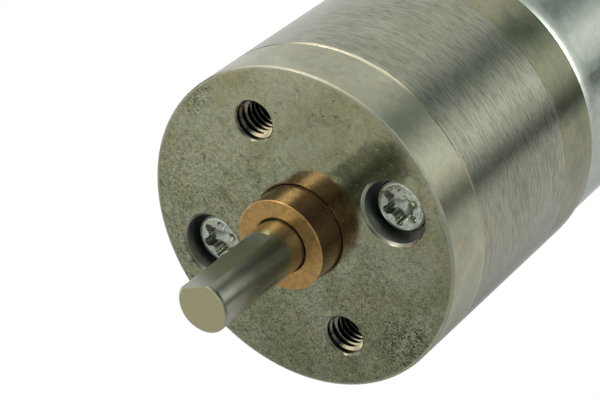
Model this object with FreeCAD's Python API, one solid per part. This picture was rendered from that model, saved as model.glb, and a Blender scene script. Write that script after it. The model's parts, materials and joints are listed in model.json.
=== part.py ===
"""A 25 mm round spur gearmotor, in millimetres.

The gear axis is the Y axis. Y is 0 at the mounting face and grows towards the motor, so the output shaft
points along -Y. +Z points at one of the two tapped mounting holes, and +X at one of the two assembly screws.
Angles are counted in the XZ plane from +X towards +Z.
"""

import FreeCAD, Part

import math
import os
from FreeCAD import Vector

# ---- driving dimensions ------------------------------------------------------------------------------

BODY_R = 12.5            # gearbox outside
FACE_CHAMFER = 0.12      # front edge of the face plate, rear edge of the rear plate
SEAM_CHAMFER = 0.08      # edges that meet at the gearbox seams
FRONT_PLATE_END = 4.2
RING_END = 16.7
GEARBOX_END = 21.0
SPIGOT = 0.8             # how far each plate reaches into the ring
RING_WALL = 1.1
SLIP = 0.03              # radial gap of parts that slip together
RUN = 0.02               # radial gap of a running fit
SCREW_GAP = 0.1          # radial gap round a screw's shank in a plain hole
SEAM_ANGLE = 270.0       # the closing line of each turned surface lies underneath
OVERLAP = 0.1            # how far a small cutter or added piece reaches past the face it meets

HOLE_CIRCLE_R = 8.5      # mounting holes, assembly screws and motor screws are all on this circle
MOUNT_HOLE_R = 1.5       # an M3 thread, at its major diameter
MOUNT_HOLE_CHAMFER = 0.12
COUNTERBORE_R = 2.4
COUNTERBORE_EDGE = 0.2
COUNTERBORE_DEPTH = 2.4

SHAFT_R = 2.0
SHAFT_TIP = -12.0
SHAFT_TIP_CHAMFER = 0.2
FLAT_START = -4.5        # the flat runs from here to the tip
FLAT_HEIGHT = 1.5        # from the axis to the flat
FLAT_ANGLE = 86.0        # which way the flat faces at rest
SHAFT_RELIEF = (-2.4, -1.8)   # a shallow groove just inside the bush's mouth
SHAFT_RELIEF_R = 1.8
SPINDLE_R = 0.9          # the thin rear end of the output shaft, which carries the second idler
PIN_R = 0.9
BUSH_R = 3.5             # the collar that stands proud and centres the gearmotor
BUSH_SHANK_R = 3.0
BUSH_TIP = -2.5
BUSH_SEAT_R = 3.7        # the plate is countersunk this wide under the collar
BUSH_SEAT_DEPTH = 0.3
WASHER_R = 3.3

# ---- gear train --------------------------------------------------------------------------------------

CENTRE_DISTANCE = 6.0    # of all four gear pairs
PRESSURE_ANGLE = math.radians(20)
TOOTH_THINNING = 0.025   # taken off each tooth at the pitch circle, for backlash
FLANK_POINTS = 5
UPPER_PIN_ANGLE = 45.0
LOWER_PIN_ANGLE = 225.0

# name: (module, pinion teeth, wheel teeth, profile shift, start, end)
STAGES = {
    "first": (0.3, 12, 28, 0.25, 13.7, 15.6),
    "second": (0.3, 11, 29, 0.30, 11.3, 13.4),
    "third": (0.4, 9, 21, 0.40, 8.6, 11.0),
    "fourth": (0.4, 9, 21, 0.40, 5.3, 8.3),
}
WHEEL_HUB_R = {"first": 1.25, "second": 1.25, "third": 1.3}   # bore of each pressed-on wheel
SPACER_R = 1.25
END_PLAY = 0.08
PIN_DEPTH = 2.2          # of the gear pins' sockets in the two plates

# ---- screws ------------------------------------------------------------------------------------------

SCREW_R = 1.0
SCREW_HEAD_R = 2.0
SCREW_HEAD_TOP = 1.0     # below the mounting face
SCREW_TIP = 18.9
SCREW_HOLE_SPARE = 0.6   # how much deeper than its screw a blind hole is
SCREW_THREAD_PITCH = 0.4
SCREW_THREAD_DEPTH = 0.15
SCREW_THREAD_TURNS = 6
RECESS_TIP_R = 1.5
RECESS_WAIST_R = 1.0
RECESS_DEPTH = 0.8
LOBES = 6
RECESS_POINT = 0.25      # height of the cone at the bottom of the recess
HEAD_ROUNDING = 0.4
MOTOR_SCREW_R = 1.25
MOTOR_SCREW_HEAD_R = 2.1
MOTOR_SCREW_HEAD = (16.6, 18.0)
MOTOR_SCREW_TIP = 22.6
MOTOR_SCREW_SEAT_R = 2.4
MOTOR_SCREW_TURNS = 3

# ---- motor -------------------------------------------------------------------------------------------

CAN_R = 12.2
CAN_WALL = 0.8
CAN_FRONT = GEARBOX_END
CAN_LENGTH = 30.8
CAN_END = CAN_FRONT + CAN_LENGTH
CAN_CORNER = 1.3         # rounding of the can's front edge
CAN_LUGS = 4             # tabs of the can that are bent over the end bell
CAN_BOSS_R = 3.07
CAN_BOSS_FRONT = 19.2
FRONT_BEARING = (19.6, 22.4)
CAN_VENT_R = 0.9
CAN_VENT_ANGLES = (30, 150, 210, 330)
REAR_PLATE_BORE_R = 2.6
ROTOR_SHAFT_R = 1.0
ROTOR_SHAFT_END = 53.7
BEARING_R = 2.4
CORE = (27.4, 41.4)
CORE_R = 8.6
INSULATOR = 0.5
INSULATOR_R = 8.2
COIL = (25.2, 43.6)
COMMUTATOR = (44.5, 48.3)
COMMUTATOR_R = 2.9
SEGMENT_THICKNESS = 0.6
VARISTOR_R = (3.0, 5.2)
VARISTOR = (43.65, 44.5)
FRONT_SPACER_R = 1.9
REAR_SPACER_R = 1.7
POLES = 3
MAGNET = (24.6, 44.4)
MAGNET_R = (9.0, 11.35)
MAGNET_SPAN = 130.0
END_BELL = (48.2, 51.2)
END_BELL_R = 11.35
END_BOSS_R = 3.6
END_BOSS_END = 53.0
REAR_BEARING = (49.9, 52.8)
TERMINAL_X = 8.6
TERMINAL_WIDTH = 2.8
TERMINAL_THICKNESS = 0.5
TERMINAL_END = 56.6
BRUSH = (45.2, 47.4)
BRUSH_BACK = 5.4         # from the axis to the brush's outer end
BRUSH_HALF_WIDTH = 1.1

ORIGIN = Vector(0, 0, 0)
AXIS = Vector(0, 1, 0)


# ---- helpers -----------------------------------------------------------------------------------------

def at(angle, radius, depth=0.0):
    """The point at this angle and radius in the plane at this depth."""
    turn = math.radians(angle)
    return Vector(radius * math.cos(turn), depth, radius * math.sin(turn))


def rod(radius, start, end, centre=ORIGIN):
    """A cylinder along Y from one depth to another."""
    return Part.makeCylinder(radius, end - start, Vector(centre.x, start, centre.z), AXIS)


def tube(inner, outer, start, end, centre=ORIGIN):
    return rod(outer, start, end, centre).cut(rod(inner, start - 1, end + 1, centre))


def cone(start_radius, end_radius, start, end, centre=ORIGIN):
    base = Vector(centre.x, start, centre.z)
    return Part.makeCone(start_radius, end_radius, end - start, base, AXIS)


def turned(outline):
    """A solid turned about the Y axis from a closed outline of (radius, depth) points."""
    points = [at(SEAM_ANGLE, radius, depth) for radius, depth in outline]
    face = Part.Face(Part.makePolygon(points + points[:1]))
    return face.revolve(ORIGIN, AXIS, 360)


def block(x_range, y_range, z_range):
    low = Vector(x_range[0], y_range[0], z_range[0])
    return Part.makeBox(x_range[1] - x_range[0], y_range[1] - y_range[0], z_range[1] - z_range[0], low)


def spun(shape, angle):
    """A copy turned about the gear axis, from +X towards +Z."""
    copy = shape.copy()
    copy.rotate(ORIGIN, AXIS, -angle)
    return copy


def extruded(edges, start, end):
    """A solid from a closed outline that lies in the plane at depth start."""
    face = Part.Face(Part.Wire(Part.__sortEdges__(edges)))
    return face.extrude(Vector(0, end - start, 0))


def sector(inner, outer, span, start, end):
    """A piece of a tube, centred on +X."""
    half = span / 2
    places = [(-half, inner), (-half, outer), (half, outer), (half, inner)]
    corners = [at(angle, radius, start) for angle, radius in places]
    edges = [
        Part.LineSegment(corners[0], corners[1]).toShape(),
        Part.Arc(corners[1], at(0, outer, start), corners[2]).toShape(),
        Part.LineSegment(corners[2], corners[3]).toShape(),
        Part.Arc(corners[3], at(0, inner, start), corners[0]).toShape(),
    ]
    return extruded(edges, start, end)


def rounded(shape, radius, depth, edge_radius):
    """The shape with its round edge at this depth and radius from the axis filleted."""
    def on_edge(edge):
        curve = edge.Curve
        if not isinstance(curve, Part.Circle):
            return False
        return abs(curve.Radius - edge_radius) < 1e-4 and abs(curve.Center.y - depth) < 1e-4
    return shape.makeFillet(radius, [edge for edge in shape.Edges if on_edge(edge)])


# ---- gears -------------------------------------------------------------------------------------------

def gear(module, teeth, shift, start, end, centre, tooth_angle, bore):
    """An involute spur gear. tooth_angle is where one tooth's middle points."""
    pitch_r = module * teeth / 2
    base_r = pitch_r * math.cos(PRESSURE_ANGLE)
    tip_r = pitch_r + (1 + shift) * module
    root_r = pitch_r - (1.25 - shift) * module
    thickness = module * (math.pi / 2 + 2 * shift * math.tan(PRESSURE_ANGLE)) - TOOTH_THINNING
    half_at_pitch = thickness / (2 * pitch_r) + math.tan(PRESSURE_ANGLE) - PRESSURE_ANGLE

    def half_angle(radius):
        """Half a tooth's width at this radius, as an angle in degrees."""
        pressure = math.acos(min(1.0, base_r / radius))
        return math.degrees(half_at_pitch - (math.tan(pressure) - pressure))

    flank_start = max(base_r, root_r)
    radii = [flank_start + (tip_r - flank_start) * i / (FLANK_POINTS - 1) for i in range(FLANK_POINTS)]
    edges = []
    pitch = 360.0 / teeth
    for tooth in range(teeth):
        middle = tooth_angle + tooth * pitch
        left = [at(middle - half_angle(r), r, start) for r in radii]
        right = [at(middle + half_angle(r), r, start) for r in radii]
        root_left = at(middle - half_angle(flank_start), root_r, start)
        root_right = at(middle + half_angle(flank_start), root_r, start)
        next_root = at(middle + pitch - half_angle(flank_start), root_r, start)
        for flank in (left, right):
            curve = Part.BSplineCurve()
            curve.interpolate(flank)
            edges.append(curve.toShape())
        if root_r < flank_start:
            edges.append(Part.LineSegment(root_left, left[0]).toShape())
            edges.append(Part.LineSegment(right[0], root_right).toShape())
        edges.append(Part.Arc(left[-1], at(middle, tip_r, start), right[-1]).toShape())
        edges.append(Part.Arc(root_right, at(middle + pitch / 2, root_r, start), next_root).toShape())
    solid = extruded(edges, start, end)
    solid.translate(Vector(centre.x, 0, centre.z))
    return solid.cut(rod(bore, start - 1, end + 1, centre))


def pinion(stage, centre, towards, bore):
    """The stage's small gear, with a tooth on the line to its wheel."""
    module, teeth, _, shift, start, end = STAGES[stage]
    return gear(module, teeth, shift, start, end, centre, towards, bore)


def wheel(stage, centre, towards, bore):
    """The stage's large gear, with a gap on the line to its pinion."""
    module, _, teeth, shift, start, end = STAGES[stage]
    return gear(module, teeth, -shift, start, end, centre, towards + 180.0 / teeth, bore)


def idler_pinion(stage, wheel_stage, centre, towards, bore):
    """A pinion with the smooth hub that its wheel is pressed on."""
    hub_start, hub_end = STAGES[wheel_stage][4:]
    start, end = STAGES[stage][4:]
    if hub_start > end:
        hub = tube(bore, WHEEL_HUB_R[wheel_stage], end, hub_end, centre)
    else:
        hub = tube(bore, WHEEL_HUB_R[wheel_stage], hub_start, start, centre)
    return pinion(stage, centre, towards, bore).fuse(hub).removeSplitter()


def gear_train():
    upper = at(UPPER_PIN_ANGLE, CENTRE_DISTANCE)
    lower = at(LOWER_PIN_ANGLE, CENTRE_DISTANCE)
    to_upper, from_upper = UPPER_PIN_ANGLE, UPPER_PIN_ANGLE + 180
    to_lower, from_lower = LOWER_PIN_ANGLE, LOWER_PIN_ANGLE + 180
    on_pin = PIN_R + RUN
    on_spindle = SPINDLE_R + RUN
    return {
        "motor_pinion": pinion("first", ORIGIN, to_upper, ROTOR_SHAFT_R),
        "first_idler_wheel": wheel("first", upper, from_upper, WHEEL_HUB_R["first"]),
        "first_idler_pinion": idler_pinion("second", "first", upper, from_upper, on_pin),
        "second_idler_wheel": wheel("second", ORIGIN, to_upper, WHEEL_HUB_R["second"]),
        "second_idler_pinion": idler_pinion("third", "second", ORIGIN, to_lower, on_spindle),
        "third_idler_wheel": wheel("third", lower, from_lower, WHEEL_HUB_R["third"]),
        "third_idler_pinion": idler_pinion("fourth", "third", lower, from_lower, on_pin),
        "output_gear": wheel("fourth", ORIGIN, to_lower, SHAFT_R),
    }


# ---- output shaft and its bearing --------------------------------------------------------------------

def output_shaft():
    """The D-shaped end, and the round rest with its journal, gear seat and spindle."""
    gear_end = STAGES["fourth"][5]
    spindle_end = STAGES["second"][5] + END_PLAY
    d_end = turned([
        (0, SHAFT_TIP),
        (SHAFT_R - SHAFT_TIP_CHAMFER, SHAFT_TIP),
        (SHAFT_R, SHAFT_TIP + SHAFT_TIP_CHAMFER),
        (SHAFT_R, FLAT_START),
        (0, FLAT_START),
    ])
    waste = block((FLAT_HEIGHT, SHAFT_R + 1), (SHAFT_TIP - 1, FLAT_START + 1), (-SHAFT_R - 1, SHAFT_R + 1))
    round_end = turned([
        (0, FLAT_START),
        (SHAFT_R, FLAT_START),
        (SHAFT_R, SHAFT_RELIEF[0]),
        (SHAFT_RELIEF_R, SHAFT_RELIEF[0]),
        (SHAFT_RELIEF_R, SHAFT_RELIEF[1]),
        (SHAFT_R, SHAFT_RELIEF[1]),
        (SHAFT_R, gear_end),
        (SPINDLE_R, gear_end),
        (SPINDLE_R, spindle_end),
        (0, spindle_end),
    ])
    return d_end.cut(spun(waste, FLAT_ANGLE)).fuse(round_end)


def output_bush():
    inner, mouth, edge = SHAFT_R + RUN, 0.15, 0.06
    end = FRONT_PLATE_END + SPIGOT
    return turned([
        (inner + mouth, BUSH_TIP),
        (BUSH_R - edge, BUSH_TIP),
        (BUSH_R, BUSH_TIP + edge),
        (BUSH_R, 0),
        (BUSH_SHANK_R, 0),
        (BUSH_SHANK_R, end),
        (inner, end),
        (inner, BUSH_TIP + mouth),
    ])


def output_washer():
    start = FRONT_PLATE_END + SPIGOT + END_PLAY / 4
    return tube(SHAFT_R + SLIP, WASHER_R, start, STAGES["fourth"][4] - END_PLAY / 2)


# ---- gearbox housing ---------------------------------------------------------------------------------

def front_plate():
    end = FRONT_PLATE_END + SPIGOT
    spigot_r = BODY_R - RING_WALL - SLIP
    plate = turned([
        (0, 0),
        (BODY_R - FACE_CHAMFER, 0),
        (BODY_R, FACE_CHAMFER),
        (BODY_R, FRONT_PLATE_END - SEAM_CHAMFER),
        (BODY_R - SEAM_CHAMFER, FRONT_PLATE_END),
        (spigot_r, FRONT_PLATE_END),
        (spigot_r, end),
        (0, end),
    ])
    cuts = [rod(BUSH_SHANK_R, -1, end + 1)]
    cuts.append(cone(BUSH_SEAT_R, BUSH_SHANK_R, 0, BUSH_SEAT_DEPTH))
    for angle in (90, 270):
        hole = at(angle, HOLE_CIRCLE_R)
        cuts.append(rod(MOUNT_HOLE_R, -1, end + 1, hole))
        cuts.append(cone(MOUNT_HOLE_R + MOUNT_HOLE_CHAMFER, MOUNT_HOLE_R, 0, MOUNT_HOLE_CHAMFER, hole))
    for angle in (0, 180):
        hole = at(angle, HOLE_CIRCLE_R)
        cuts.append(rod(COUNTERBORE_R, -1, COUNTERBORE_DEPTH, hole))
        cuts.append(cone(COUNTERBORE_R + COUNTERBORE_EDGE, COUNTERBORE_R, 0, COUNTERBORE_EDGE, hole))
        cuts.append(rod(SCREW_R + SCREW_GAP, COUNTERBORE_DEPTH - 1, end + 1, hole))
    for angle in (UPPER_PIN_ANGLE, LOWER_PIN_ANGLE):
        cuts.append(rod(PIN_R, end - PIN_DEPTH, end + 1, at(angle, CENTRE_DISTANCE)))
    return plate.cut(cuts)


def gearbox_ring():
    inner = BODY_R - RING_WALL
    return turned([
        (inner, FRONT_PLATE_END),
        (BODY_R - SEAM_CHAMFER, FRONT_PLATE_END),
        (BODY_R, FRONT_PLATE_END + SEAM_CHAMFER),
        (BODY_R, RING_END - SEAM_CHAMFER / 2),
        (BODY_R - SEAM_CHAMFER / 2, RING_END),
        (inner, RING_END),
    ])


def rear_plate():
    start = RING_END - SPIGOT
    spigot_r = BODY_R - RING_WALL - SLIP
    plate = turned([
        (0, start),
        (spigot_r, start),
        (spigot_r, RING_END),
        (BODY_R - SEAM_CHAMFER / 2, RING_END),
        (BODY_R, RING_END + SEAM_CHAMFER / 2),
        (BODY_R, GEARBOX_END - FACE_CHAMFER),
        (BODY_R - FACE_CHAMFER, GEARBOX_END),
        (0, GEARBOX_END),
    ])
    cuts = [rod(REAR_PLATE_BORE_R, start - 1, GEARBOX_END)]
    cuts.append(rod(CAN_BOSS_R + SLIP, CAN_BOSS_FRONT - END_PLAY, GEARBOX_END + 1))
    for angle in (90, 270):
        hole = at(angle, HOLE_CIRCLE_R)
        cuts.append(rod(MOTOR_SCREW_R + SCREW_GAP, start - 1, GEARBOX_END + 1, hole))
        cuts.append(rod(MOTOR_SCREW_SEAT_R, start - 1, MOTOR_SCREW_HEAD[1], hole))
    for angle in (0, 180):
        cuts.append(rod(SCREW_R, start - 1, SCREW_TIP + SCREW_HOLE_SPARE, at(angle, HOLE_CIRCLE_R)))
    for angle in (UPPER_PIN_ANGLE, LOWER_PIN_ANGLE):
        cuts.append(rod(PIN_R, start - 1, start + PIN_DEPTH, at(angle, CENTRE_DISTANCE)))
    return plate.cut(cuts)


def gear_pin(angle):
    tip = 0.15
    start, end = FRONT_PLATE_END + SPIGOT - PIN_DEPTH, RING_END - SPIGOT + PIN_DEPTH
    pin = turned([
        (0, start),
        (PIN_R - tip, start),
        (PIN_R, start + tip),
        (PIN_R, end - tip),
        (PIN_R - tip, end),
        (0, end),
    ])
    pin.translate(at(angle, CENTRE_DISTANCE))
    return pin


def pin_spacers():
    """The sleeves that keep each idler at its end of its pin."""
    front, back = FRONT_PLATE_END + SPIGOT, RING_END - SPIGOT
    upper, lower = at(UPPER_PIN_ANGLE, CENTRE_DISTANCE), at(LOWER_PIN_ANGLE, CENTRE_DISTANCE)
    bore = PIN_R + SLIP
    first_idler_start, third_idler_end = STAGES["second"][4], STAGES["third"][5]
    return {
        "upper_pin_spacer": tube(bore, SPACER_R, front, first_idler_start - END_PLAY, upper),
        "lower_pin_spacer": tube(bore, SPACER_R, third_idler_end + END_PLAY, back, lower),
    }


# ---- screws ------------------------------------------------------------------------------------------

def six_lobe_recess(top, depth):
    """The cutter for a six-lobe drive recess, on the Y axis."""
    step = 360.0 / LOBES
    flank_r = (RECESS_TIP_R + RECESS_WAIST_R) / 2
    edges = []
    for lobe in range(LOBES):
        tip = lobe * step
        before, after = at(tip - step / 4, flank_r, top), at(tip + step / 4, flank_r, top)
        next_lobe = at(tip + 3 * step / 4, flank_r, top)
        edges.append(Part.Arc(before, at(tip, RECESS_TIP_R, top), after).toShape())
        edges.append(Part.Arc(after, at(tip + step / 2, RECESS_WAIST_R, top), next_lobe).toShape())
    return extruded(edges, top, top + depth)


def screw(shank_r, head_r, head_top, head_bottom, tip, thread_turns):
    """A pan-head screw on the Y axis, its thread as rings at the thread's pitch."""
    root_r, pitch = shank_r - SCREW_THREAD_DEPTH, SCREW_THREAD_PITCH
    # one ring of the thread: its root, then its crest, by the share of the pitch that each point is at
    profile = [(root_r, 0.4), (root_r, 0.5), (shank_r, 0.9), (shank_r, 1.0)]
    thread_start = tip - (thread_turns + 1) * pitch
    head = rounded(rod(head_r, head_top, head_bottom), HEAD_ROUNDING, head_top, head_r)
    outline = [(0, head_bottom), (shank_r, head_bottom), (shank_r, thread_start)]
    for turn in range(thread_turns):
        outline += [(radius, thread_start + (turn + share) * pitch) for radius, share in profile]
    outline += [(root_r, tip), (0, tip)]
    floor = head_top + RECESS_DEPTH
    recess = six_lobe_recess(head_top - OVERLAP, RECESS_DEPTH + OVERLAP)
    recess = recess.fuse(cone(RECESS_WAIST_R, 0, floor, floor + RECESS_POINT))
    return head.fuse(turned(outline)).cut(recess).removeSplitter()


def screw_pair(first_angle, *sizes):
    """Two like screws on the hole circle, opposite each other."""
    pair = []
    for angle in (first_angle, first_angle + 180):
        copy = screw(*sizes)
        copy.translate(at(angle, HOLE_CIRCLE_R))
        pair.append(copy)
    return Part.makeCompound(pair)


def assembly_screws():
    """The long screws that clamp the ring between the two plates."""
    head = (SCREW_HEAD_TOP, COUNTERBORE_DEPTH)
    shank = (SCREW_TIP, SCREW_THREAD_TURNS)
    return screw_pair(0, SCREW_R, SCREW_HEAD_R, *head, *shank)


def motor_screws():
    """The short screws that hold the motor on the rear plate."""
    shank = (MOTOR_SCREW_TIP, MOTOR_SCREW_TURNS)
    return screw_pair(90, MOTOR_SCREW_R, MOTOR_SCREW_HEAD_R, *MOTOR_SCREW_HEAD, *shank)


# ---- motor housing -----------------------------------------------------------------------------------

def motor_can():
    """The drawn can, with its bearing seat, vents, magnet dimples and the lugs bent over the end bell."""
    inner_r = CAN_R - CAN_WALL
    inside = CAN_FRONT + CAN_WALL
    shell = rounded(rod(CAN_R, CAN_FRONT, CAN_END), CAN_CORNER, CAN_FRONT, CAN_R)
    hollow = rounded(rod(inner_r, inside, CAN_END + 1), CAN_CORNER - CAN_WALL, inside, inner_r)
    can = spun(shell.cut(hollow), SEAM_ANGLE)
    can = can.fuse(rod(CAN_BOSS_R, CAN_BOSS_FRONT, FRONT_BEARING[1]))
    shaft_gap = 0.4
    cuts = [rod(BEARING_R, FRONT_BEARING[0], inside + 1)]
    cuts.append(rod(ROTOR_SHAFT_R + shaft_gap, CAN_BOSS_FRONT - 1, inside))
    for angle in (90, 270):
        cuts.append(rod(MOTOR_SCREW_R, CAN_FRONT - 1, inside + 1, at(angle, HOLE_CIRCLE_R)))
    for angle in CAN_VENT_ANGLES:
        cuts.append(rod(CAN_VENT_R, CAN_FRONT - 1, inside + 1, at(angle, HOLE_CIRCLE_R)))
    dimple_r, dimple_depth, from_magnet_end = 2.0, 0.3, 2.5
    for angle in (0, 180):
        for depth in (MAGNET[0] + from_magnet_end, MAGNET[1] - from_magnet_end):
            centre = at(angle, CAN_R + dimple_r - dimple_depth, depth)
            cuts.append(Part.makeSphere(dimple_r, centre))
    can = can.cut(cuts)
    lug_reach, lug_root, lug_span, first_lug = 1.2, 0.3, 16.0, 45.0
    for lug in range(CAN_LUGS):
        bent = sector(inner_r - lug_reach, inner_r + lug_root, lug_span, END_BELL[1], CAN_END)
        can = can.fuse(spun(bent, first_lug + lug * 360.0 / CAN_LUGS))
    return can.removeSplitter()


def bearing(start, end):
    inner, edge = ROTOR_SHAFT_R + RUN, 0.2
    return turned([
        (inner, start + edge),
        (inner + edge, start),
        (BEARING_R - edge, start),
        (BEARING_R, start + edge),
        (BEARING_R, end - edge),
        (BEARING_R - edge, end),
        (inner + edge, end),
        (inner, end - edge),
    ])


def magnet(angle):
    return spun(sector(MAGNET_R[0], MAGNET_R[1], MAGNET_SPAN, *MAGNET), angle)


def magnet_clips():
    """The two bent springs in the gaps between the magnets, which push them against the can."""
    strip, leg_span, spare = 0.4, 2.2, 1.0
    span = 180 - MAGNET_SPAN - spare
    clips = []
    for angle in (90, 270):
        clip = sector(MAGNET_R[1] - strip, MAGNET_R[1], span, *MAGNET)
        for side in (-1, 1):
            leg = sector(MAGNET_R[0] + strip, MAGNET_R[1], leg_span, *MAGNET)
            clip = clip.fuse(spun(leg, side * (span - leg_span) / 2))
        clips.append(spun(clip.removeSplitter(), angle))
    return Part.makeCompound(clips)


def end_bell():
    """The moulded cap, with its bearing boss, two windows and the posts beside each terminal."""
    start, end = END_BELL
    rim, rim_depth, foot = 1.0, 1.6, 0.5
    post_half_x, post_half_z, post_gap = 1.0, 0.45, 0.05
    window_half_x, window_z = 1.8, (5.8, 7.6)
    relief = 0.6             # room for the commutator's end
    bell = rod(END_BELL_R, start, end)
    bell = bell.fuse(cone(END_BOSS_R + foot, END_BOSS_R, end, end + foot))
    bell = bell.fuse(rod(END_BOSS_R, end, END_BOSS_END))
    bell = bell.fuse(tube(END_BELL_R - rim, END_BELL_R, start - rim_depth, start))
    bell = spun(bell, SEAM_ANGLE)
    half = TERMINAL_WIDTH / 2
    cuts = [rod(BEARING_R, REAR_BEARING[0], END_BOSS_END + 1)]
    cuts.append(rod(ROTOR_SHAFT_R + 1, start - 1, end))
    cuts.append(rod(COMMUTATOR_R + relief, start - 1, start + relief))
    for side in (-1, 1):
        x = side * TERMINAL_X
        for up in (-1, 1):
            z = up * (half + post_gap + post_half_z)
            z_range = (z - post_half_z, z + post_half_z)
            bell = bell.fuse(block((x - post_half_x, x + post_half_x), (BRUSH[0], start), z_range))
        x_range = (x - TERMINAL_THICKNESS / 2, x + TERMINAL_THICKNESS / 2)
        cuts.append(block(x_range, (start - 1, end + 1), (-half, half)))
        window = sorted(side * z for z in window_z)
        cuts.append(block((-window_half_x, window_half_x), (start - 1, end + 1), window))
    return bell.cut(cuts).fuse(polarity_mark(end)).removeSplitter()


def polarity_mark(face):
    """A small raised plus beside the positive terminal."""
    x, z, arm, half_width, height = 7.4, 3.8, 0.7, 0.18, 0.2
    y_range = (face - OVERLAP, face + height)
    upright = block((x - half_width, x + half_width), y_range, (z - arm, z + arm))
    bar = block((x - arm, x + arm), y_range, (z - half_width, z + half_width))
    return upright.fuse(bar)


def terminal(side):
    """A flat tab through the end bell, with a soldering eye in its outer end."""
    x = side * TERMINAL_X
    x_range = (x - TERMINAL_THICKNESS / 2, x + TERMINAL_THICKNESS / 2)
    half = TERMINAL_WIDTH / 2
    eye_r, eye_from_end, corner, slack = 0.6, 1.7, 0.7, 0.01
    tab = block(x_range, (BRUSH[0], TERMINAL_END), (-half, half))
    boxes = [(edge, edge.BoundBox) for edge in tab.Edges]
    corners = [edge for edge, box in boxes if box.YMin > TERMINAL_END - slack and box.ZLength < slack]
    eye = Part.makeCylinder(eye_r, 3, Vector(x - 1.5, TERMINAL_END - eye_from_end, 0), Vector(1, 0, 0))
    return tab.makeChamfer(corner, corners).cut(eye)


def brush(side):
    """A carbon block whose inner end is hollowed to ride on the commutator."""
    wrap = 0.4               # how far the brush's corners reach round the commutator
    carbon = block((COMMUTATOR_R - wrap, BRUSH_BACK), BRUSH, (-BRUSH_HALF_WIDTH, BRUSH_HALF_WIDTH))
    carbon = carbon.cut(rod(COMMUTATOR_R + SLIP, BRUSH[0] - 1, BRUSH[1] + 1))
    return spun(carbon, 0 if side > 0 else 180)


def brush_arm(side):
    """The U-shaped leaf spring between a brush and its terminal."""
    leaf, inset, bend_z, foot_z = 0.3, 0.2, -0.1, -BRUSH_HALF_WIDTH
    start, end = BRUSH[0] + inset, BRUSH[1] - inset
    back = TERMINAL_X - TERMINAL_THICKNESS / 2
    bend_r = (back - BRUSH_BACK) / 2
    bend = tube(bend_r - leaf, bend_r, start, end, Vector(BRUSH_BACK + bend_r, 0, bend_z))
    bend = bend.cut(block((BRUSH_BACK - 1, back + 1), (start - 1, end + 1), (bend_z - 2 * bend_r, bend_z)))
    legs = block((BRUSH_BACK, BRUSH_BACK + leaf), (start, end), (foot_z, bend_z))
    legs = legs.fuse(block((back - leaf, back), (start, end), (foot_z, bend_z)))
    return spun(bend.fuse(legs).removeSplitter(), 0 if side > 0 else 180)


# ---- rotor -------------------------------------------------------------------------------------------

def rotor_shaft():
    tip = 0.15
    start = STAGES["first"][4]
    return turned([
        (0, start),
        (ROTOR_SHAFT_R - tip, start),
        (ROTOR_SHAFT_R, start + tip),
        (ROTOR_SHAFT_R, ROTOR_SHAFT_END - tip),
        (ROTOR_SHAFT_R - tip, ROTOR_SHAFT_END),
        (0, ROTOR_SHAFT_END),
    ])


def pole_star(start, end, shoe_r):
    """The three-pole outline shared by the core and its end insulators."""
    hub_r, neck_half, neck_end, shoe_inner, shoe_span = 2.6, 1.3, 7.5, 7.2, 104.0
    star = rod(hub_r, start, end)
    for pole in range(POLES):
        neck = block((0, neck_end), (start, end), (-neck_half, neck_half))
        shoe = sector(shoe_inner, shoe_r, shoe_span, start, end)
        star = star.fuse(spun(neck.fuse(shoe), 360.0 / POLES * pole))
    return star.cut(rod(ROTOR_SHAFT_R, start - 1, end + 1)).removeSplitter()


def rotor_windings():
    """One coil round each pole."""
    coils = []
    inner, outer, neck_half, half_width, corner, slack = 2.9, 7.0, 1.4, 3.9, 1.6, 0.01
    for pole in range(POLES):
        coil = block((inner, outer), COIL, (-half_width, half_width))
        corners = [edge for edge in coil.Edges if edge.BoundBox.XLength > outer - inner - slack]
        coil = coil.makeFillet(corner, corners)
        core_space = (CORE[0] - INSULATOR, CORE[1] + INSULATOR)
        coil = coil.cut(block((0, outer + 1), core_space, (-neck_half, neck_half)))
        coil = coil.common(rod(outer, COIL[0] - 1, COIL[1] + 1))
        coils.append(spun(coil, 360.0 / POLES * pole))
    return Part.makeCompound(coils)


def commutator_hub():
    """The insulating sleeve under the segments, with the flange that carries the varistor ring."""
    sleeve = tube(ROTOR_SHAFT_R, COMMUTATOR_R - SEGMENT_THICKNESS, CORE[1] + INSULATOR, COMMUTATOR[1])
    flange = tube(ROTOR_SHAFT_R, VARISTOR_R[0], *VARISTOR)
    return sleeve.fuse(flange).removeSplitter()


def commutator_segments():
    gap = 8.0
    pitch = 360.0 / POLES
    segment = sector(COMMUTATOR_R - SEGMENT_THICKNESS, COMMUTATOR_R, pitch - gap, *COMMUTATOR)
    return Part.makeCompound([spun(segment, pitch / 2 + pitch * i) for i in range(POLES)])


def rotor():
    front, back = FRONT_BEARING[1], REAR_BEARING[0]
    play = 0.1
    return {
        "rotor_shaft": rotor_shaft(),
        "rotor_core": pole_star(*CORE, CORE_R),
        "front_core_insulator": pole_star(CORE[0] - INSULATOR, CORE[0], INSULATOR_R),
        "rear_core_insulator": pole_star(CORE[1], CORE[1] + INSULATOR, INSULATOR_R),
        "rotor_windings": rotor_windings(),
        "commutator_hub": commutator_hub(),
        "commutator_segments": commutator_segments(),
        "varistor_ring": tube(*VARISTOR_R, *VARISTOR),
        "front_rotor_spacer": tube(ROTOR_SHAFT_R, FRONT_SPACER_R, front + play, CORE[0] - INSULATOR),
        "rear_rotor_spacer": tube(ROTOR_SHAFT_R, REAR_SPACER_R, COMMUTATOR[1] + RUN, back - END_PLAY),
    }


# ---- the whole gearmotor -----------------------------------------------------------------------------

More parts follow.
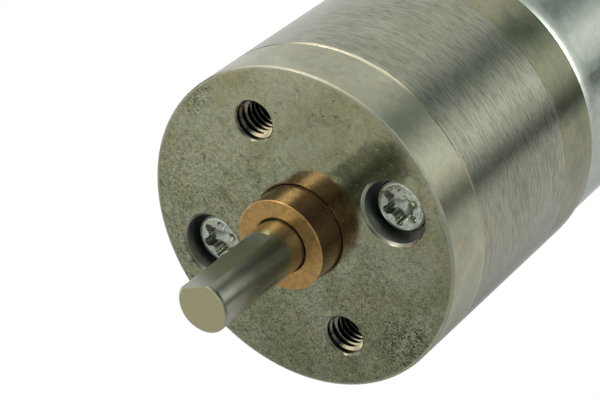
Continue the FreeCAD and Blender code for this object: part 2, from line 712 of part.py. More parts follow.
def build():
    parts = {
        "front_plate": front_plate(),
        "output_bush": output_bush(),
        "output_washer": output_washer(),
        "output_shaft": output_shaft(),
        "gearbox_ring": gearbox_ring(),
        "rear_plate": rear_plate(),
        "upper_gear_pin": gear_pin(UPPER_PIN_ANGLE),
        "lower_gear_pin": gear_pin(LOWER_PIN_ANGLE),
        "assembly_screws": assembly_screws(),
        "motor_screws": motor_screws(),
        "motor_can": motor_can(),
        "front_bearing": bearing(*FRONT_BEARING),
        "rear_bearing": bearing(*REAR_BEARING),
        "right_magnet": magnet(0),
        "left_magnet": magnet(180),
        "magnet_clips": magnet_clips(),
        "end_bell": end_bell(),
    }
    for name, side in (("right", 1), ("left", -1)):
        parts[name + "_terminal"] = terminal(side)
        parts[name + "_brush"] = brush(side)
        parts[name + "_brush_arm"] = brush_arm(side)
    parts.update(pin_spacers())
    parts.update(gear_train())
    parts.update(rotor())
    return parts


def main():
    os.makedirs("parts", exist_ok=True)
    for name, shape in build().items():
        assert shape.isValid() and shape.Volume > 0, name
        shape.exportStep(os.path.join("parts", name + ".step"))
        print(f"{name}: {len(shape.Solids)} solid(s), {shape.Volume:.1f} mm3")


main()
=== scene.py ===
"""Looks of the 25 mm gearmotor: finishes, thread ridges, studio and camera.

Objects, lights and the camera are placed in metres, in the row frame. Textures are laid out in millimetres
of each part's own frame, which is the row frame at rest, so a finish stays on its part when the part turns.
"""

import json
import math

import bpy
from mathutils import Matrix, Vector


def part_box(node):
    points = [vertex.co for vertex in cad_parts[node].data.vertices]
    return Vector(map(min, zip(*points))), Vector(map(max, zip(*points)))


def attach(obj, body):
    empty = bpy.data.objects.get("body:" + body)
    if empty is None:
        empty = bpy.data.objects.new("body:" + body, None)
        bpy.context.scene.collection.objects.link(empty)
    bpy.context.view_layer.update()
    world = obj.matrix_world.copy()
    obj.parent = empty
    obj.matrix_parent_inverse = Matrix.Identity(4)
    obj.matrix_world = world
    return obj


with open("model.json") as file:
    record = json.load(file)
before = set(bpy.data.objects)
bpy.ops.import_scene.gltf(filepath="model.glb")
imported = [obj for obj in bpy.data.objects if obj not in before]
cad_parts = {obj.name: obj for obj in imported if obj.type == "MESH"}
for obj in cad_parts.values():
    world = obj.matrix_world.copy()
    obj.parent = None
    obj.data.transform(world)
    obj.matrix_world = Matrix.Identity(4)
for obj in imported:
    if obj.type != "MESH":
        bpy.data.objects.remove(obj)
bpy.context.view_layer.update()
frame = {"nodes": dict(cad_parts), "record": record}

MM = 0.001

# ---- camera ------------------------------------------------------------------------------------------

CAMERA_PLACE = Vector((0.10099, -0.11184, 0.03923))
CAMERA_AIM = Vector((0.00033, 0.00092, 0.00188))
CAMERA_ROLL = math.radians(-22.80)
CAMERA_LENS = 132.2
SENSOR_WIDTH = 36.0

# ---- studio ------------------------------------------------------------------------------------------

WHITE = (1.0, 1.0, 1.0, 1.0)
TENT_LIGHT = 0.80
TENT_GAP_TINT = (0.78, 0.98, 1.0, 1.0)
# Bands of the tent that run along the gear axis, behind the face: middle and half width in degrees, gain.
TENT_BANDS = [(-28.0, 10.0, -0.97), (34.0, 16.0, -0.70), (2.0, 12.0, 0.40)]
BANDS_FROM = (0.15, 0.40)    # the y of the directions between which the bands fade in
# Round spots of the tent: direction, half width in degrees, gain. The first two are the camera's opening.
TENT_SPOTS = [
    (CAMERA_PLACE, 28.0, -0.96),
    (Vector((0.20, -0.95, 0.10)), 20.0, -0.85),
    (Vector((-0.80, -0.50, -0.33)), 18.0, -0.45),
    (Vector((-0.98, -0.15, 0.15)), 16.0, 1.5),
    (Vector((-0.61, -0.72, 0.34)), 14.0, -0.5),
    (Vector((-0.58, -0.78, -0.15)), 14.0, 0.4),
]
LOW_FRONT = (-0.12, -0.42)   # the z of the directions between which the tent's front darkens
LOW_FRONT_GAIN = -0.75
FLOOR_BOUNCE = 0.68          # the floor's brightness in reflections
FLOOR_DROP = 0.12            # below the gear axis
FLOOR_MIDDLE = (0.0, 0.02)
FLOOR_R = 0.25
# Where the camera's stand and the gearmotor darken the floor, in reflections: place, radius, gain.
FLOOR_SHADES = [((0.09, -0.17), 0.08, -0.9), ((-0.09, 0.15), 0.065, -0.55)]
LIGHTS_AIM = Vector((0.0, 0.01, 0.0))
# Softboxes: name, place, size, radiance.
SOFTBOXES = [
    ("key", Vector((-0.04, -0.19, 0.225)), 0.10, 5.0),
    ("side", Vector((0.29, -0.04, 0.04)), 0.16, 7.0),
]

# ---- the gearmotor, from the frame -------------------------------------------------------------------


def mount(name):
    return next(m for m in frame["record"]["mounts"] if m["name"] == name)


FACE_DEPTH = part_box("front_plate")[1].y / MM
GEARBOX_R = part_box("gearbox_ring")[1].x / MM
SHAFT_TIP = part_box("output_shaft")[0].y / MM
BUSH_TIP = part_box("output_bush")[0].y / MM
CAN_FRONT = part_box("rear_plate")[1].y / MM
HOLE_SPACING = mount("mounting_holes")["dims"]["spacing_y_mm"]
HOLE_R = mount("mounting_holes")["dims"]["hole_r_mm"]
THREAD_PITCH = 0.5
THREAD_MINOR_R = 1.23

# ---- node building -----------------------------------------------------------------------------------

class Finish:
    """One procedural material, built one node at a time. Numbers and colours may stand in for sockets."""

    def __init__(self, name):
        self.material = bpy.data.materials.new(name)
        self.material.use_nodes = True
        self.tree = self.material.node_tree
        self.shader = self.tree.nodes["Principled BSDF"]
        place = self.node("ShaderNodeTexCoord").outputs["Object"]
        self.place = self.scaled(place, (1 / MM, 1 / MM, 1 / MM))
        self.x, self.y, self.z = self.split(self.place)
        self.r = self.length(self.x, self.z)

    def node(self, kind, **settings):
        node = self.tree.nodes.new(kind)
        for key, value in settings.items():
            setattr(node, key, value)
        return node

    def put(self, socket, value):
        if isinstance(value, bpy.types.NodeSocket):
            self.tree.links.new(value, socket)
        else:
            socket.default_value = value

    def math(self, operation, a, b=0.0, c=0.0):
        node = self.node("ShaderNodeMath", operation=operation)
        for socket, value in zip(node.inputs, (a, b, c)):
            self.put(socket, value)
        return node.outputs[0]

    def length(self, a, b):
        """The length of the diagonal of a rectangle with sides a and b."""
        squares = [self.math("MULTIPLY", side, side) for side in (a, b)]
        return self.math("SQRT", self.math("ADD", *squares))

    def scaled(self, vector, factors):
        node = self.node("ShaderNodeVectorMath", operation="MULTIPLY")
        self.put(node.inputs[0], vector)
        node.inputs[1].default_value = factors
        return node.outputs[0]

    def split(self, vector):
        node = self.node("ShaderNodeSeparateXYZ")
        self.put(node.inputs[0], vector)
        return node.outputs

    def joined(self, x, y, z):
        node = self.node("ShaderNodeCombineXYZ")
        for socket, value in zip(node.inputs, (x, y, z)):
            self.put(socket, value)
        return node.outputs[0]

    def step(self, value, low, high):
        """0 below low, 1 above high, smooth between; low may be the larger."""
        node = self.node("ShaderNodeMapRange", interpolation_type="SMOOTHSTEP")
        flip = low > high
        self.put(node.inputs["Value"], value)
        node.inputs["From Min"].default_value = min(low, high)
        node.inputs["From Max"].default_value = max(low, high)
        node.inputs["To Min"].default_value = 1.0 if flip else 0.0
        node.inputs["To Max"].default_value = 0.0 if flip else 1.0
        return node.outputs["Result"]

    def span(self, value, low, high):
        """value's 0 to 1 laid out from low to high."""
        return self.math("MULTIPLY_ADD", value, high - low, low)

    def noise(self, scale, detail=3.0, roughness=0.5, distortion=0.0, place=None):
        """Noise with this many features per millimetre."""
        node = self.node("ShaderNodeTexNoise")
        self.put(node.inputs["Vector"], place or self.place)
        node.inputs["Scale"].default_value = scale
        node.inputs["Detail"].default_value = detail
        node.inputs["Roughness"].default_value = roughness
        node.inputs["Distortion"].default_value = distortion
        return node.outputs["Fac"]

    def spots(self, scale, size):
        """Round spots scattered at this many cells per millimetre; size is a share of a cell."""
        node = self.node("ShaderNodeTexVoronoi")
        self.put(node.inputs["Vector"], self.place)
        node.inputs["Scale"].default_value = scale
        return self.step(node.outputs["Distance"], size, 0.4 * size)

    def mix(self, factor, a, b):
        node = self.node("ShaderNodeMix", data_type="RGBA")
        for socket, value in ((node.inputs[0], factor), (node.inputs[6], a), (node.inputs[7], b)):
            if isinstance(value, (tuple, list)) and len(value) == 3:
                value = (*value, 1.0)
            self.put(socket, value)
        return node.outputs[2]

    def toned(self, colour, factor):
        """A colour made lighter or darker by a grey factor."""
        node = self.node("ShaderNodeVectorMath", operation="SCALE")
        self.put(node.inputs[0], colour)
        self.put(node.inputs["Scale"], factor)
        return node.outputs[0]

    def product(self, *values):
        """Several masks or tones multiplied together."""
        total = values[0]
        for value in values[1:]:
            total = self.math("MULTIPLY", total, value)
        return total

    def inverse(self, mask):
        return self.math("SUBTRACT", 1.0, mask)

    def stretched(self, x, y, z):
        """Noise with this many features per millimetre along each axis."""
        return self.noise(1.0, 3.0, 0.6, place=self.scaled(self.place, (x, y, z)))

    def turned_lines(self, per_mm, round_scale):
        """Noise stretched round the gear axis, as a lathe tool leaves it on a turned surface."""
        depth = self.math("MULTIPLY", self.y, per_mm)
        cos = self.math("DIVIDE", self.x, self.r)
        sin = self.math("DIVIDE", self.z, self.r)
        turn = [self.math("MULTIPLY", part, round_scale) for part in (cos, sin)]
        return self.noise(1.0, 3.0, 0.6, place=self.joined(turn[0], depth, turn[1]))

    def near(self, x, z, radius):
        """1 at this x and z of a face that lies across the gear axis, fading to 0 at this radius."""
        away = self.length(self.math("SUBTRACT", self.x, x), self.math("SUBTRACT", self.z, z))
        return self.step(away, radius, 0.35 * radius)

    def facing(self, angle, full, none):
        """1 up to full degrees round the gear axis from this angle, fading to 0 at none degrees."""
        turn = math.radians(angle)
        along = self.math("MULTIPLY", self.z, math.sin(turn))
        along = self.math("MULTIPLY_ADD", self.x, math.cos(turn), along)
        share = self.math("DIVIDE", along, self.r)
        return self.step(share, math.cos(math.radians(none)), math.cos(math.radians(full)))

    def bump(self, height, distance_mm):
        node = self.node("ShaderNodeBump")
        self.put(node.inputs["Height"], height)
        node.inputs["Distance"].default_value = distance_mm * MM
        return node.outputs["Normal"]

    def done(self, colour, roughness, normal, metallic=1.0):
        self.put(self.shader.inputs["Base Color"], colour)
        self.put(self.shader.inputs["Roughness"], roughness)
        self.put(self.shader.inputs["Normal"], normal)
        self.put(self.shader.inputs["Metallic"], metallic)
        return self.material


# ---- finishes of the outside -------------------------------------------------------------------------

OLIVE = (0.34, 0.33, 0.19)
OLIVE_PALE = (0.42, 0.42, 0.275)
OLIVE_DARK = (0.16, 0.157, 0.105)
TAN = (0.43, 0.35, 0.20)
PIT = (0.045, 0.042, 0.025)
GLINT = (0.66, 0.64, 0.47)
RIM_GREY = (0.37, 0.38, 0.275)
RIM_PALE = (0.43, 0.44, 0.32)
COUNTERBORE_GREY = (0.35, 0.365, 0.34)
# Painted shade: the near-black walls of the tapped holes.
TAPPED_HOLE_PAINTED_SHADE = (0.05, 0.05, 0.04)
EDGE_PLAIN = (0.33, 0.335, 0.245)
# The next two colours are a painted highlight and painted shade on the plate's front edge.
EDGE_PAINTED_HIGHLIGHT = (0.62, 0.57, 0.43)
EDGE_PAINTED_SHADE = (0.10, 0.10, 0.075)
EDGE_OF_HOLE = (0.30, 0.285, 0.21)
# x, z and radius in millimetres, and how dense the pits are.
PITTED_PATCHES = [(5.2, -10.2, 4.2, 1.0), (-4.4, 11.4, 2.4, 0.6)]
# Stretches of a round edge, in degrees: middle, then how far to each side it is whole and where it ends.
# The next two are where the plate's front edge gets its painted highlight and its painted shade.
PLATE_EDGE_PAINTED_HIGHLIGHT = (64.0, 20.0, 34.0)
PLATE_EDGE_PAINTED_SHADE = (122.0, 18.0, 26.0)
# The next two are where the ring's front seam gets its painted highlight and its painted shade.
SEAM_PAINTED_HIGHLIGHT = (56.0, 16.0, 26.0)
SEAM_PAINTED_SHADE = (118.0, 28.0, 38.0)


def face_plate():
    """Ground steel: stained and pitted face, smooth rim, a front edge with a painted highlight along its
    top and painted shade at its upper left, and tapped holes darkened with painted shade.
    """
    f = Finish("face_plate_steel")
    face = f.step(f.y, 0.10, 0.02)
    rim = f.step(f.r, GEARBOX_R - 0.3, GEARBOX_R - 0.15)
    edge = f.product(f.step(f.y, 0.01, 0.05), f.step(f.y, 0.24, 0.19))
    hole = f.product(f.inverse(face), f.inverse(rim))

    clouds = f.noise(0.22, 4.0, 0.55, 0.6)
    stains = f.noise(0.75, 6.0, 0.62, 1.2)
    blush = f.noise(0.45, 4.0, 0.55, 0.8, f.scaled(f.place, (1, 1, -1)))
    mottle = f.noise(2.2, 4.0, 0.62, 0.6)
    curls = f.noise(5.2, 2.5, 0.6, 1.8)
    grainy = f.span(f.step(f.math("ADD", f.x, f.z), 10.0, -4.0), 0.35, 1.0)
    colour = f.mix(f.step(clouds, 0.36, 0.62), OLIVE, OLIVE_PALE)
    colour = f.mix(f.product(f.step(stains, 0.50, 0.68), 0.5), colour, OLIVE_DARK)
    colour = f.mix(f.product(f.step(blush, 0.52, 0.68), 0.35), colour, TAN)
    grain = f.math("MULTIPLY", f.span(mottle, -0.46, 0.46), f.span(grainy, 0.4, 1.0))
    grain = f.math("ADD", f.product(f.span(f.step(curls, 0.44, 0.60), 0.26, -0.40), grainy), grain)
    face_colour = f.toned(colour, f.math("ADD", grain, 0.93))

    patches = [f.product(f.near(x, z, radius), share) for x, z, radius, share in PITTED_PATCHES]
    dense = f.math("MAXIMUM", *patches)
    worms = f.noise(3.4, 1.5, 0.5, 2.0, f.scaled(f.place, (1, 1, -1)))
    fine_pits = f.step(worms, 0.50, 0.56)
    sparse = f.product(f.spots(1.9, 0.2), f.step(stains, 0.45, 0.6))
    pits = f.product(f.math("MAXIMUM", f.product(fine_pits, dense), f.product(sparse, 0.8)), face)
    glints = f.product(f.step(worms, 0.42, 0.36), dense, face)
    face_colour = f.mix(f.product(pits, 0.85), face_colour, PIT)
    face_colour = f.mix(f.product(glints, 0.45), face_colour, GLINT)

    lines = f.turned_lines(9.0, 14.0)
    rim_colour = f.mix(f.step(clouds, 0.4, 0.65), RIM_GREY, RIM_PALE)
    rim_colour = f.mix(f.product(f.step(blush, 0.50, 0.64), 0.3), rim_colour, TAN)
    rim_colour = f.toned(rim_colour, f.product(f.span(lines, 0.86, 1.14), f.span(stains, 0.76, 1.36)))
    colour = f.mix(rim, face_colour, rim_colour)
    colour = f.mix(hole, colour, COUNTERBORE_GREY)
    # The tapped holes' walls are painted near-black: painted shade inside the holes.
    for side in (-1, 1):
        wall = f.near(0.0, side * HOLE_SPACING / 2, HOLE_R + 0.5)
        colour = f.mix(f.product(f.step(wall, 0.02, 0.06), hole), colour, TAPPED_HOLE_PAINTED_SHADE)
    # The front edge gets a painted highlight round its top and painted shade at its upper left.
    edge_colour = f.mix(f.facing(*PLATE_EDGE_PAINTED_HIGHLIGHT), EDGE_PLAIN, EDGE_PAINTED_HIGHLIGHT)
    edge_colour = f.mix(f.facing(*PLATE_EDGE_PAINTED_SHADE), edge_colour, EDGE_PAINTED_SHADE)
    edge_colour = f.mix(hole, edge_colour, EDGE_OF_HOLE)
    colour = f.mix(f.product(edge, 0.75), colour, edge_colour)

    rough = f.math("MULTIPLY_ADD", f.product(mottle, grainy), 0.22, 0.08)
    rough = f.math("MULTIPLY_ADD", pits, 0.25, rough)
    rough = f.math("MULTIPLY_ADD", rim, 0.12, rough)
    rough = f.math("MULTIPLY_ADD", hole, 0.2, rough)
    rough = f.math("MULTIPLY_ADD", f.product(edge, rim), 0.2, rough)
    skin = f.product(f.math("SUBTRACT", mottle, curls), grainy, 0.4)
    height = f.math("MULTIPLY_ADD", f.math("SUBTRACT", skin, pits), face, f.math("MULTIPLY", lines, 0.12))
    return f.done(colour, rough, f.bump(height, 0.008))


def ring():
    """Turned steel: fine broken lines round the axis, and a front edge with a painted highlight on one side
    and painted shade on another.
    """
    f = Finish("turned_ring_steel")
    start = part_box("gearbox_ring")[0].y / MM
    # The front seam is painted light: a golden painted highlight, widest and brightest round one side, with
    # painted shade round another.
    seam_highlight = f.facing(*SEAM_PAINTED_HIGHLIGHT)
    ragged = f.span(f.noise(0.9, 3.0, 0.6, 0.3), 0.0, 0.28)
    seam = f.step(f.math("SUBTRACT", f.y, f.product(seam_highlight, ragged)), start + 0.16, start + 0.09)
    lines = f.turned_lines(8.5, 14.0)
    grooves = f.step(f.turned_lines(5.5, 9.0), 0.46, 0.62)
    scratches = f.step(f.turned_lines(7.0, 12.0), 0.60, 0.64)
    clouds = f.noise(0.3, 3.0, 0.5, 0.4)
    colour = f.mix(f.step(clouds, 0.35, 0.7), (0.32, 0.33, 0.245), (0.37, 0.375, 0.285))
    colour = f.toned(colour, f.product(f.span(lines, 0.68, 1.32), f.span(grooves, 1.08, 0.82)))
    colour = f.mix(f.product(scratches, 0.5), colour, (0.12, 0.12, 0.085))
    seam_painted_light = f.mix(seam_highlight, (0.58, 0.53, 0.36), (0.90, 0.82, 0.58))
    seam_painted_light = f.mix(f.facing(*SEAM_PAINTED_SHADE), seam_painted_light, (0.06, 0.06, 0.045))
    colour = f.mix(seam, colour, seam_painted_light)
    rough = f.span(lines, 0.14, 0.28)
    height = f.math("MULTIPLY_ADD", grooves, -0.35, lines)
    return f.done(colour, rough, f.bump(height, 0.006))


def rear_plate():
    """Turned steel, cloudier and smoother than the ring."""
    f = Finish("rear_plate_steel")
    lines = f.turned_lines(8.0, 12.0)
    clouds = f.noise(0.35, 3.0, 0.5, 0.5)
    mottle = f.noise(1.6, 4.0, 0.6, 0.8)
    colour = f.mix(f.step(clouds, 0.38, 0.62), (0.235, 0.25, 0.16), (0.33, 0.325, 0.21))
    colour = f.toned(colour, f.product(f.span(lines, 0.84, 1.16), f.span(mottle, 0.75, 1.25)))
    return f.done(colour, f.span(lines, 0.15, 0.27), f.bump(lines, 0.004))


def shaft():
    """Ground steel with a matt sawn end."""
    f = Finish("shaft_steel")
    end = f.step(f.y, SHAFT_TIP + 0.12, SHAFT_TIP + 0.02)
    grind = f.stretched(16.0, 1.2, 16.0)
    lines = f.turned_lines(14.0, 8.0)
    clouds = f.noise(0.8, 3.0, 0.5, 0.3)
    colour = f.mix(f.step(clouds, 0.3, 0.7), (0.325, 0.335, 0.262), (0.38, 0.39, 0.305))
    colour = f.toned(colour, f.product(f.span(lines, 0.92, 1.08), f.span(grind, 0.94, 1.06)))
    sawn = f.toned((0.50, 0.46, 0.28), f.span(f.noise(5.0, 4.0, 0.6), 0.9, 1.1))
    colour = f.mix(end, colour, sawn)
    rough = f.math("MULTIPLY_ADD", end, 0.3, f.span(lines, 0.2, 0.28))
    return f.done(colour, rough, f.bump(lines, 0.002))


def bush():
    """Sintered bronze: matt and porous on its face, burnished on its side."""
    f = Finish("sintered_bronze")
    face = f.step(f.y, BUSH_TIP + 0.10, BUSH_TIP + 0.03)
    pores = f.spots(7.0, 0.30)
    mottle = f.noise(2.5, 4.0, 0.6, 0.4)
    colour = f.mix(f.step(mottle, 0.35, 0.65), (0.48, 0.275, 0.095), (0.59, 0.365, 0.14))
    side = f.mix(f.step(mottle, 0.35, 0.7), (0.32, 0.205, 0.115), (0.25, 0.155, 0.09))
    colour = f.mix(face, side, colour)
    colour = f.mix(f.product(pores, 0.4), colour, (0.2, 0.09, 0.04))
    rough = f.math("MULTIPLY_ADD", face, 0.12, f.span(mottle, 0.2, 0.32))
    height = f.math("MULTIPLY_ADD", pores, -1.0, mottle)
    return f.done(colour, rough, f.bump(height, 0.004))


def screw():
    """Bright plating, dull and oily down in the recess and on the thread."""
    f = Finish("bright_plated_screw")
    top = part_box("assembly_screws")[0].y / MM
    wear = f.noise(3.0, 3.0, 0.5)
    grain = f.noise(7.0, 3.0, 0.6)
    colour = f.mix(f.step(wear, 0.4, 0.7), (0.48, 0.50, 0.41), (0.70, 0.73, 0.63))
    dull = f.toned((0.43, 0.45, 0.38), f.span(grain, 0.6, 1.4))
    colour = f.mix(f.step(f.y, top + 0.12, top + 0.35), colour, dull)
    return f.done(colour, f.span(wear, 0.10, 0.20), f.bump(wear, 0.008))


def can():
    """Bright zinc plating over deep-drawn steel: faint draw lines, and a duller front shoulder."""
    f = Finish("zinc_plated_can")
    drawn = f.stretched(6.0, 0.35, 6.0)
    spangle = f.noise(1.2, 4.0, 0.55, 0.6)
    colour = f.mix(f.step(spangle, 0.35, 0.7), (0.45, 0.50, 0.42), (0.52, 0.57, 0.50))
    colour = f.toned(colour, f.span(drawn, 0.95, 1.05))
    shoulder = f.step(f.y, CAN_FRONT + 2.2, CAN_FRONT + 1.0)
    rough = f.math("MULTIPLY_ADD", shoulder, 0.16, f.span(spangle, 0.16, 0.28))
    return f.done(colour, rough, f.bump(drawn, 0.003))


# ---- finishes behind and inside ----------------------------------------------------------------------

def plain_metal(name, light, dark, low=0.2, high=0.35):
    """Machined metal with a soft cloudy tone and fine lathe lines."""
    def make():
        f = Finish(name)
        clouds = f.noise(1.1, 4.0, 0.55, 0.4)
        lines = f.turned_lines(10.0, 10.0)
        colour = f.toned(f.mix(f.step(clouds, 0.35, 0.65), dark, light), f.span(lines, 0.9, 1.1))
        return f.done(colour, f.span(lines, low, high), f.bump(lines, 0.003))
    return make


def moulded(name, light, dark, rough=0.45):
    """Moulded plastic: a faint orange-peel skin."""
    def make():
        f = Finish(name)
        clouds = f.noise(0.4, 3.0, 0.5)
        skin = f.noise(9.0, 2.0, 0.5)
        colour = f.mix(f.step(clouds, 0.3, 0.7), dark, light)
        return f.done(colour, f.span(skin, rough - 0.06, rough + 0.06), f.bump(skin, 0.01), metallic=0.0)
    return make


def ferrite(name):
    """Sintered dark ceramic with a fine grain."""
    def make():
        f = Finish(name)
        grain = f.noise(8.0, 4.0, 0.7)
        colour = f.mix(f.step(grain, 0.35, 0.65), (0.035, 0.035, 0.038), (0.07, 0.07, 0.072))
        return f.done(colour, f.span(grain, 0.5, 0.7), f.bump(grain, 0.01), metallic=0.0)
    return make


def winding():
    """Enamelled wire, wound in layers round each pole."""
    f = Finish("enamelled_copper")
    wave = f.node("ShaderNodeTexWave", wave_type="BANDS", bands_direction="X")
    f.put(wave.inputs["Vector"], f.joined(f.r, 0.0, 0.0))
    wave.inputs["Scale"].default_value = 1.1
    wave.inputs["Distortion"].default_value = 1.2
    colour = f.mix(wave.outputs["Fac"], (0.22, 0.06, 0.02), (0.62, 0.25, 0.10))
    return f.done(colour, f.span(wave.outputs["Fac"], 0.35, 0.25), f.bump(wave.outputs["Fac"], 0.06))


def laminations():
    """Stacked sheets, each edge a fine dark line."""
    f = Finish("stacked_laminations")
    sheet_mm = 0.5
    edge = f.math("FRACT", f.math("DIVIDE", f.y, sheet_mm))
    gap = f.step(f.math("ABSOLUTE", f.math("SUBTRACT", edge, 0.5)), 0.38, 0.48)
    grain = f.noise(4.0, 3.0, 0.6)
    colour = f.toned(f.mix(gap, (0.30, 0.30, 0.31), (0.05, 0.05, 0.05)), f.span(grain, 0.85, 1.15))
    return f.done(colour, f.span(grain, 0.3, 0.45), f.bump(f.inverse(gap), 0.02))


STEEL = plain_metal("machined_steel", (0.45, 0.45, 0.44), (0.36, 0.36, 0.35))
BRASS = plain_metal("machined_brass", (0.66, 0.48, 0.20), (0.52, 0.36, 0.14))
COPPER = plain_metal("turned_copper", (0.68, 0.34, 0.20), (0.50, 0.24, 0.14))
TERMINAL = plain_metal("brass_strip", (0.70, 0.56, 0.28), (0.58, 0.44, 0.20), 0.18, 0.3)
NYLON = moulded("moulded_nylon", (0.66, 0.645, 0.58), (0.58, 0.565, 0.50))
GREEN = moulded("moulded_insulator", (0.05, 0.16, 0.09), (0.04, 0.12, 0.07))
WASHER = moulded("washer_plastic", (0.70, 0.66, 0.52), (0.62, 0.58, 0.46))
FERRITE = ferrite("sintered_ferrite")
CARBON = ferrite("pressed_carbon")

FINISHES = {
    face_plate: ["front_plate"],
    ring: ["gearbox_ring"],
    rear_plate: ["rear_plate"],
    shaft: ["output_shaft"],
    bush: ["output_bush", "front_bearing", "rear_bearing"],
    screw: ["assembly_screws", "motor_screws"],
    can: ["motor_can"],
    winding: ["rotor_windings"],
    laminations: ["rotor_core"],
    STEEL: [
        "upper_gear_pin", "lower_gear_pin", "magnet_clips", "rotor_shaft", "output_gear",
        "third_idler_wheel", "third_idler_pinion", "second_idler_pinion", "first_idler_pinion",
    ],
    BRASS: [
        "upper_pin_spacer", "lower_pin_spacer", "second_idler_wheel", "first_idler_wheel", "motor_pinion",
    ],
    COPPER: ["commutator_segments"],
    TERMINAL: ["right_terminal", "left_terminal", "right_brush_arm", "left_brush_arm"],
    NYLON: ["end_bell"],
    GREEN: ["front_core_insulator", "rear_core_insulator", "commutator_hub"],
    WASHER: ["output_washer", "front_rotor_spacer", "rear_rotor_spacer"],
    FERRITE: ["right_magnet", "left_magnet", "varistor_ring"],
    CARBON: ["right_brush", "left_brush"],
}


def paint_cad_nodes():
    painted = set()
    for make, names in FINISHES.items():
        material = make()
        for name in names:
            for slot in frame["nodes"][name].material_slots:
                slot.material = material
            painted.add(name)
    missing = set(frame["nodes"]) - painted
    if missing:
        raise RuntimeError(f"no finish for {sorted(missing)}")


# ---- thread ridges in the mounting holes -------------------------------------------------------------

RIDGE_STEPS = 40         # per turn
RIDGE_EMBED = 0.02       # into the hole's wall
RIDGE_CREST = 0.03       # half width of the crest, and of the base at the wall
RIDGE_BASE = 0.16
RIDGE_RUN_IN = 0.8       # turns over which the ridge grows to full height
RIDGE_LEAST = 0.02       # share of the full height at its two ends
RIDGE_MARGINS = (0.12, 0.05)    # from the plate's front and rear face


def thread_ridge(name, centre_z):
    """The internal thread of one mounting hole, as a helical ridge that stands in from the wall."""
    start = RIDGE_MARGINS[0]
    end = FACE_DEPTH - RIDGE_MARGINS[1]
    turns = (end - start) / THREAD_PITCH - 1
    count = int(turns * RIDGE_STEPS)
    vertices, faces = [], []
    for i in range(count + 1):
        turn = i / RIDGE_STEPS
        grown = min(1.0, turn / RIDGE_RUN_IN, (turns - turn) / RIDGE_RUN_IN + RIDGE_LEAST)
        height = max(RIDGE_LEAST, grown)
        crest_r = HOLE_R - (HOLE_R - THREAD_MINOR_R) * height
        middle = start + THREAD_PITCH * (turn + 0.5)
        angle = 2 * math.pi * turn
        section = [
            (HOLE_R + RIDGE_EMBED, middle - RIDGE_BASE),
            (crest_r, middle - RIDGE_CREST),
            (crest_r, middle + RIDGE_CREST),
            (HOLE_R + RIDGE_EMBED, middle + RIDGE_BASE),
        ]
        for radius, depth in section:
            point = Vector((radius * math.cos(angle), depth, centre_z + radius * math.sin(angle)))
            vertices.append(point * MM)
    size = len(section)
    for i in range(count):
        for k in range(size):
            a = i * size + k
            b = i * size + (k + 1) % size
            faces.append((a, b, b + size, a + size))
    faces.append(tuple(range(size))[::-1])
    faces.append(tuple(count * size + k for k in range(size)))
    mesh = bpy.data.meshes.new(name)
    mesh.from_pydata(vertices, [], faces)
    mesh.update()
    ridge = bpy.data.objects.new(name, mesh)
    bpy.context.scene.collection.objects.link(ridge)
    return ridge


def tapped_steel(name, centre_z):
    """Cut thread flanks: dark, with a golden painted highlight low in the hole."""
    f = Finish(name)
    wear = f.noise(6.0, 3.0, 0.6)
    # A golden painted highlight on the flanks low in the hole.
    painted_glint = f.step(f.z, centre_z - 0.75, centre_z - 1.1)
    dark = f.mix(f.step(wear, 0.35, 0.65), (0.17, 0.165, 0.13), (0.27, 0.265, 0.21))
    colour = f.mix(painted_glint, dark, (0.95, 0.82, 0.52))
    return f.done(colour, f.span(wear, 0.10, 0.20), f.bump(wear, 0.003))


def add_threads():
    for name, side in (("upper_hole_thread", 1), ("lower_hole_thread", -1)):
        centre_z = side * HOLE_SPACING / 2
        ridge = thread_ridge(name, centre_z)
        ridge.data.materials.append(tapped_steel(f"{name}_steel", centre_z))
        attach(ridge, "root")


# ---- studio ------------------------------------------------------------------------------------------

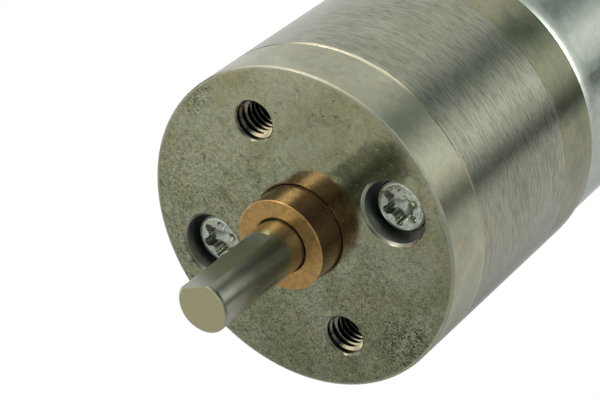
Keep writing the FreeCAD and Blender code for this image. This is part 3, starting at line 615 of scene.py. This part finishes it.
def add_tent():
    """A white light tent with darker and lighter bands and spots; its dark gaps are a little bluish."""
    world = bpy.data.worlds.new("light_tent")
    world.use_nodes = True
    bpy.context.scene.world = world
    tree = world.node_tree
    background = tree.nodes["Background"]

    def math_node(operation, a, b=0.0, c=0.0, clamp=False):
        node = tree.nodes.new("ShaderNodeMath")
        node.operation = operation
        node.use_clamp = clamp
        for socket, value in zip(node.inputs, (a, b, c)):
            if isinstance(value, bpy.types.NodeSocket):
                tree.links.new(value, socket)
            else:
                socket.default_value = value
        return node.outputs[0]

    def bell(value, middle, half_width):
        """1 at the middle, falling off smoothly to both sides. middle and half_width are in degrees."""
        off = math_node("SUBTRACT", value, math.radians(middle))
        off = math_node("DIVIDE", off, math.radians(half_width))
        return math_node("EXPONENT", math_node("MULTIPLY", math_node("MULTIPLY", off, off), -1.0))

    def dimmed(light, mask, gain):
        """light, changed by this gain where the mask is 1."""
        return math_node("MULTIPLY", math_node("MULTIPLY_ADD", mask, gain, 1.0), light)

    direction = tree.nodes.new("ShaderNodeTexCoord").outputs["Generated"]
    parts = tree.nodes.new("ShaderNodeSeparateXYZ")
    tree.links.new(direction, parts.inputs[0])
    x, y, z = parts.outputs
    angle = math_node("ARCTAN2", z, x)
    fade_in = 1.0 / (BANDS_FROM[1] - BANDS_FROM[0])
    behind = math_node("MULTIPLY", math_node("SUBTRACT", y, BANDS_FROM[0]), fade_in, clamp=True)
    light = TENT_LIGHT
    for middle, half_width, gain in TENT_BANDS:
        light = dimmed(light, math_node("MULTIPLY", bell(angle, middle, half_width), behind), gain)

    for spot, half_width, gain in TENT_SPOTS:
        towards = tree.nodes.new("ShaderNodeVectorMath")
        towards.operation = "DOT_PRODUCT"
        tree.links.new(direction, towards.inputs[0])
        towards.inputs[1].default_value = spot.normalized()
        turn = math_node("ARCCOSINE", towards.outputs["Value"])
        light = dimmed(light, bell(turn, 0.0, half_width), gain)

    low = math_node("SUBTRACT", LOW_FRONT[0], z)
    low = math_node("DIVIDE", low, LOW_FRONT[0] - LOW_FRONT[1], clamp=True)
    front = math_node("MULTIPLY", y, -2.0, clamp=True)
    light = dimmed(light, math_node("MULTIPLY", low, front), LOW_FRONT_GAIN)

    seen = tree.nodes.new("ShaderNodeLightPath").outputs["Is Camera Ray"]
    light = math_node("MAXIMUM", light, seen)
    tree.links.new(light, background.inputs["Strength"])

    tint = tree.nodes.new("ShaderNodeMix")
    tint.data_type = "RGBA"
    dark = math_node("MULTIPLY_ADD", light, -1.0 / TENT_LIGHT, 1.0, clamp=True)
    tree.links.new(dark, tint.inputs[0])
    tint.inputs[6].default_value = WHITE
    tint.inputs[7].default_value = TENT_GAP_TINT
    tree.links.new(tint.outputs[2], background.inputs["Color"])


def add_floor():
    """A plain pale floor, white to the camera and dimmer in the gearmotor's reflections."""
    place = (*FLOOR_MIDDLE, -FLOOR_DROP)
    bpy.ops.mesh.primitive_circle_add(vertices=96, radius=FLOOR_R, fill_type="NGON", location=place)
    floor = bpy.context.object
    floor.name = "floor"
    material = bpy.data.materials.new("pale_floor")
    material.use_nodes = True
    tree = material.node_tree

    def node(kind, inputs=(), **settings):
        made = tree.nodes.new(kind)
        for key, value in settings.items():
            setattr(made, key, value)
        for socket, value in zip(made.inputs, inputs):
            if isinstance(value, bpy.types.NodeSocket):
                tree.links.new(value, socket)
            else:
                socket.default_value = value
        return made.outputs

    def math_node(operation, *inputs):
        return node("ShaderNodeMath", inputs, operation=operation)[0]

    point = node("ShaderNodeNewGeometry")["Position"]
    bounce = FLOOR_BOUNCE
    for spot, radius, gain in FLOOR_SHADES:
        away = node("ShaderNodeVectorMath", (point, (*spot, -FLOOR_DROP)), operation="DISTANCE")["Value"]
        off = math_node("DIVIDE", away, radius)
        shade = math_node("EXPONENT", math_node("MULTIPLY", math_node("MULTIPLY", off, off), -1.0))
        bounce = math_node("MULTIPLY", math_node("MULTIPLY_ADD", shade, gain, 1.0), bounce)
    seen = node("ShaderNodeLightPath")["Is Camera Ray"]
    glow = node("ShaderNodeEmission", (WHITE, math_node("MAXIMUM", bounce, seen)))[0]
    tree.links.new(glow, tree.nodes["Material Output"].inputs["Surface"])
    floor.data.materials.append(material)


def add_softbox(name, place, size, radiance):
    """A square area light that faces the front of the gearmotor."""
    data = bpy.data.lights.new(name, "AREA")
    data.shape = "SQUARE"
    data.size = size
    data.energy = radiance * math.pi * size * size
    lamp = bpy.data.objects.new(name, data)
    lamp.location = place
    lamp.rotation_euler = (LIGHTS_AIM - place).to_track_quat("-Z", "Y").to_euler()
    bpy.context.scene.collection.objects.link(lamp)


def add_camera():
    data = bpy.data.cameras.new("camera")
    data.lens = CAMERA_LENS
    data.sensor_width = SENSOR_WIDTH
    data.clip_start = 0.01
    data.clip_end = 10.0
    camera = bpy.data.objects.new("camera", data)
    forward = (CAMERA_AIM - CAMERA_PLACE).normalized()
    right = forward.cross(Vector((0, 0, 1))).normalized()
    up = right.cross(forward)
    level = Matrix((right, up, -forward)).transposed()
    turned = level @ Matrix.Rotation(CAMERA_ROLL, 3, "Z")
    camera.matrix_world = Matrix.Translation(CAMERA_PLACE) @ turned.to_4x4()
    bpy.context.scene.collection.objects.link(camera)
    bpy.context.scene.camera = camera


# ---- the scene ---------------------------------------------------------------------------------------

paint_cad_nodes()
add_threads()
add_tent()
add_floor()
for softbox in SOFTBOXES:
    add_softbox(*softbox)
add_camera()
bpy.context.scene.view_settings.view_transform = "Standard"
